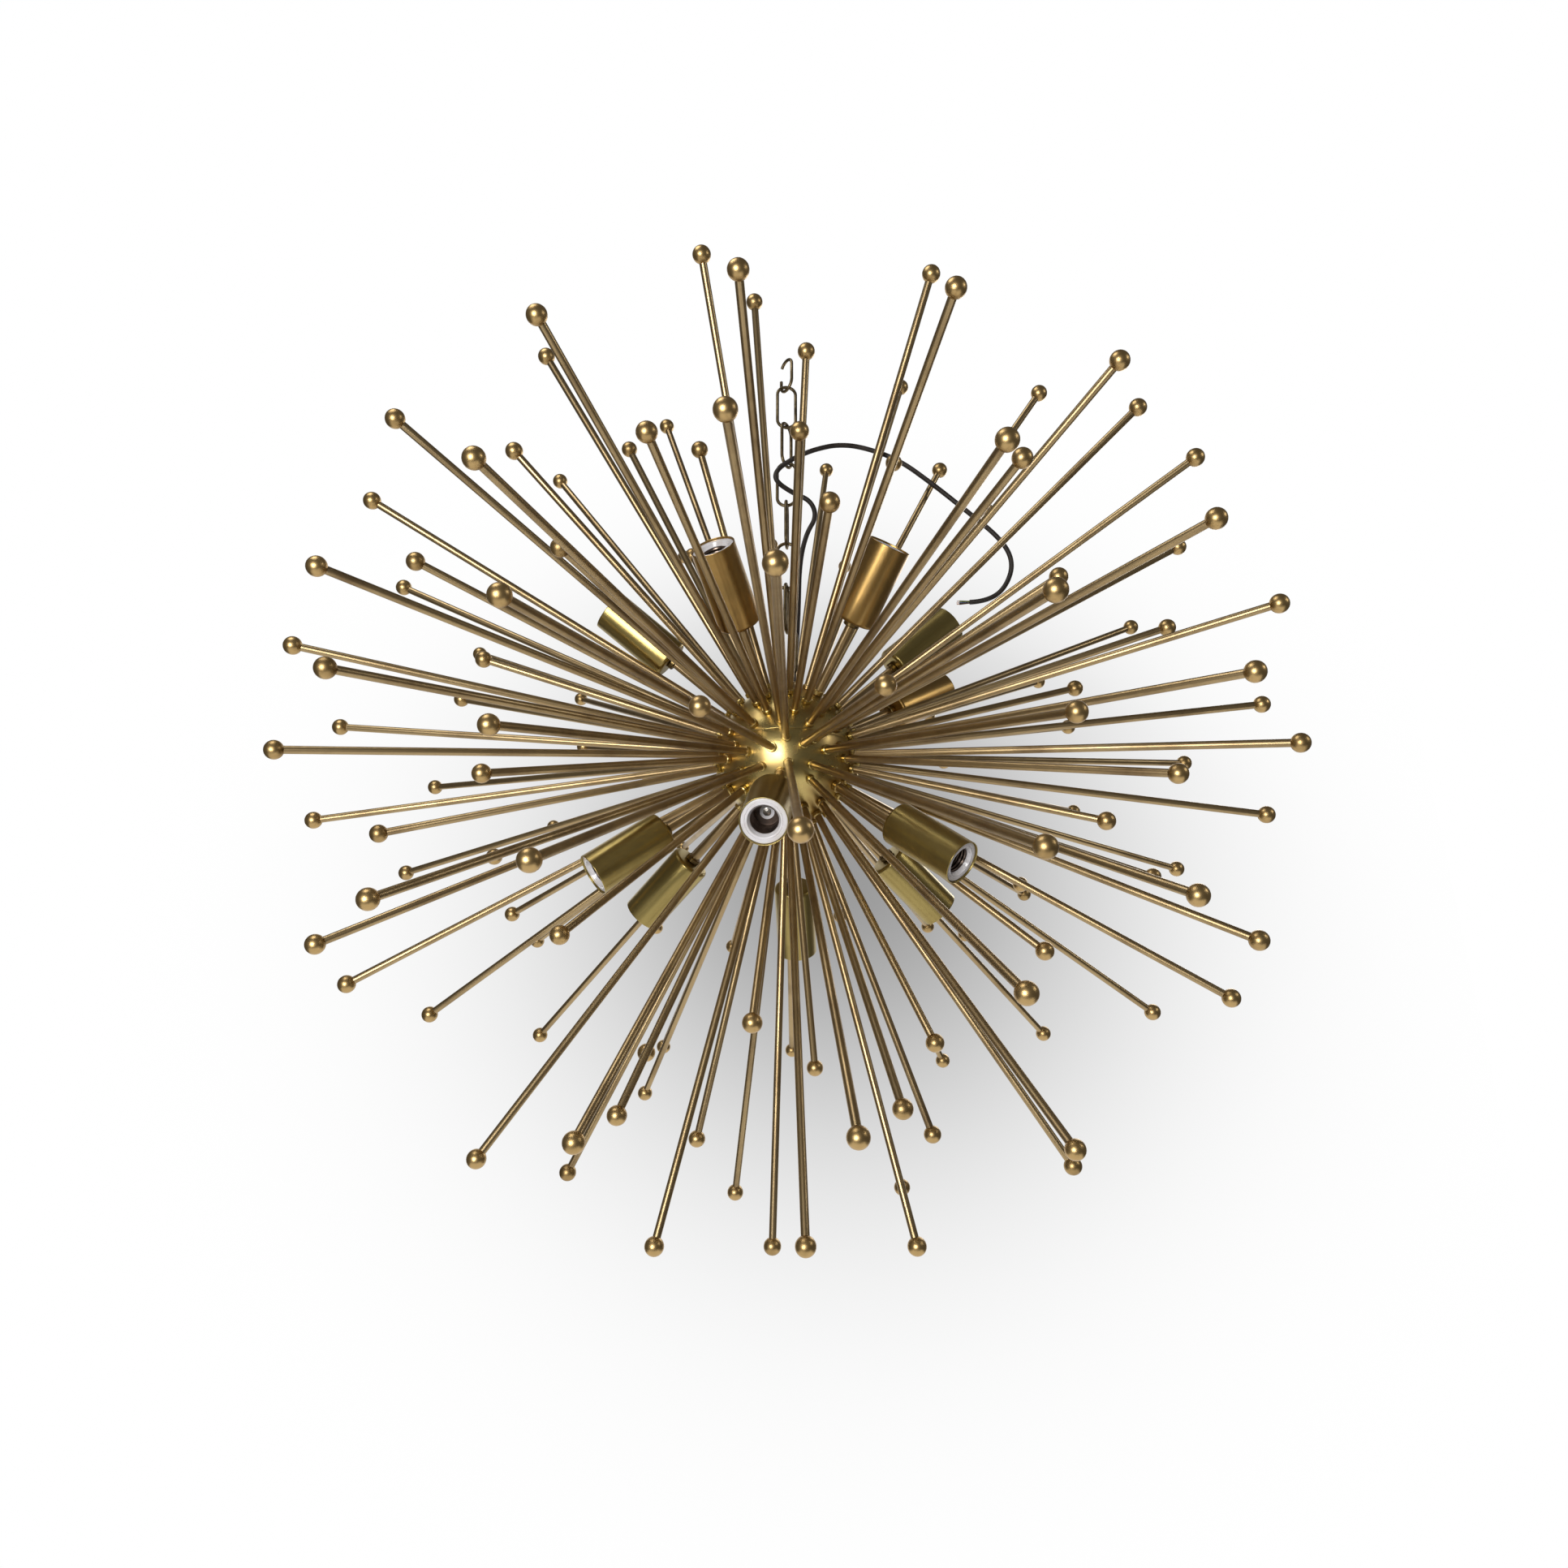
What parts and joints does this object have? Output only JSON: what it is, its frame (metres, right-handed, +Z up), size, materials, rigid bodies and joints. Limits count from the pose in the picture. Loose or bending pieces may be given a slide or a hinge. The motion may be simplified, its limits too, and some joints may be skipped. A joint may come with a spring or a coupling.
{
  "type": "chandelier",
  "caption": "Sputnik chandelier: a brass ball with radial ball-tipped rods and lamp cups all round, hanging on a chain with a loose supply cord.",
  "frame": {"origin": "seat of the open top hook, where the chandelier hangs from its ceiling hook", "axes": "+Z up along the chain, -Y towards the camera of the reference picture, +X to its right"},
  "size_m": [1.0708, 1.0692, 1.0767],
  "materials": {
    "ball_brass": "satin antique brass, slightly tarnished",
    "rod_brass": "satin antique brass",
    "tip_brass": "polished antique brass",
    "cup_brass": "polished antique brass",
    "chain_brass": "dull antique brass",
    "fitting_brass": "satin antique brass",
    "porcelain": "white glaze",
    "cord_black": "matt black jacket",
    "bare_copper": "bare copper wire",
    "wire_sleeve": "woven sleeve",
    "connector_plastic": "moulded plastic",
    "contact_metal": "nickel-plated",
    "plated_steel": "zinc-plated"
  },
  "bodies": {
    "hook": {"top_hook": "chain_brass"},
    "link_1": {"chain_link_1": "chain_brass"},
    "link_2": {"chain_link_2": "chain_brass"},
    "fixture": {"bottom_cap": "fitting_brass", "centre_contacts": "contact_metal", "centre_pipe": "plated_steel", "chain_link_3": "chain_brass", "chain_link_4": "chain_brass", "chain_link_5": "chain_brass", "chain_link_6": "chain_brass", "chain_link_7": "chain_brass", "cord_end_wires": "bare_copper", "cup_lock_nuts": "plated_steel", "cup_neck_collars": "fitting_brass", "hang_loop": "fitting_brass", "lamp_cup_1": "cup_brass", "lamp_cup_10": "cup_brass", "lamp_cup_11": "cup_brass", "lamp_cup_12": "cup_brass", "lamp_cup_2": "cup_brass", "lamp_cup_3": "cup_brass", "lamp_cup_4": "cup_brass", "lamp_cup_5": "cup_brass", "lamp_cup_6": "cup_brass", "lamp_cup_7": "cup_brass", "lamp_cup_8": "cup_brass", "lamp_cup_9": "cup_brass", "lamp_leads": "wire_sleeve", "lower_half_shell": "ball_brass", "lower_lamp_stems": "fitting_brass", "lower_lampholders": "porcelain", "lower_long_rods": "rod_brass", "lower_long_tips": "tip_brass", "lower_medium_rods": "rod_brass", "lower_medium_tips": "tip_brass", "lower_rod_collars": "fitting_brass", "lower_rod_nuts": "plated_steel", "lower_screw_shells": "contact_metal", "lower_short_rods": "rod_brass", "lower_short_tips": "tip_brass", "pipe_nuts": "plated_steel", "stem_collars": "fitting_brass", "stem_nuts": "plated_steel", "supply_connector": "connector_plastic", "supply_cord": "cord_black", "supply_wires": "wire_sleeve", "upper_half_shell": "ball_brass", "upper_lamp_stems": "fitting_brass", "upper_lampholders": "porcelain", "upper_long_rods": "rod_brass", "upper_long_tips": "tip_brass", "upper_medium_rods": "rod_brass", "upper_medium_tips": "tip_brass", "upper_rod_collars": "fitting_brass", "upper_rod_nuts": "plated_steel", "upper_screw_shells": "contact_metal", "upper_short_rods": "rod_brass", "upper_short_tips": "tip_brass", "wire_connectors": "connector_plastic"}
  },
  "joints": [
    {"name": "link_1_swing", "type": "hinge", "parent": "hook", "child": "link_1", "pos_m": [0, 0, -0.04415], "axis": [0.5736, -0.8192, 0], "range_deg": [-30, 30]},
    {"name": "link_2_swing", "type": "hinge", "parent": "link_1", "child": "link_2", "pos_m": [0, 0, -0.10215], "axis": [0.9962, 0.0872, 0], "range_deg": [-30, 30]},
    {"name": "fixture_turn", "type": "hinge", "parent": "link_2", "child": "fixture", "pos_m": [0, 0, -0.158], "axis": [0, 0, 1], "range_deg": [-50, 20]}
  ]
}
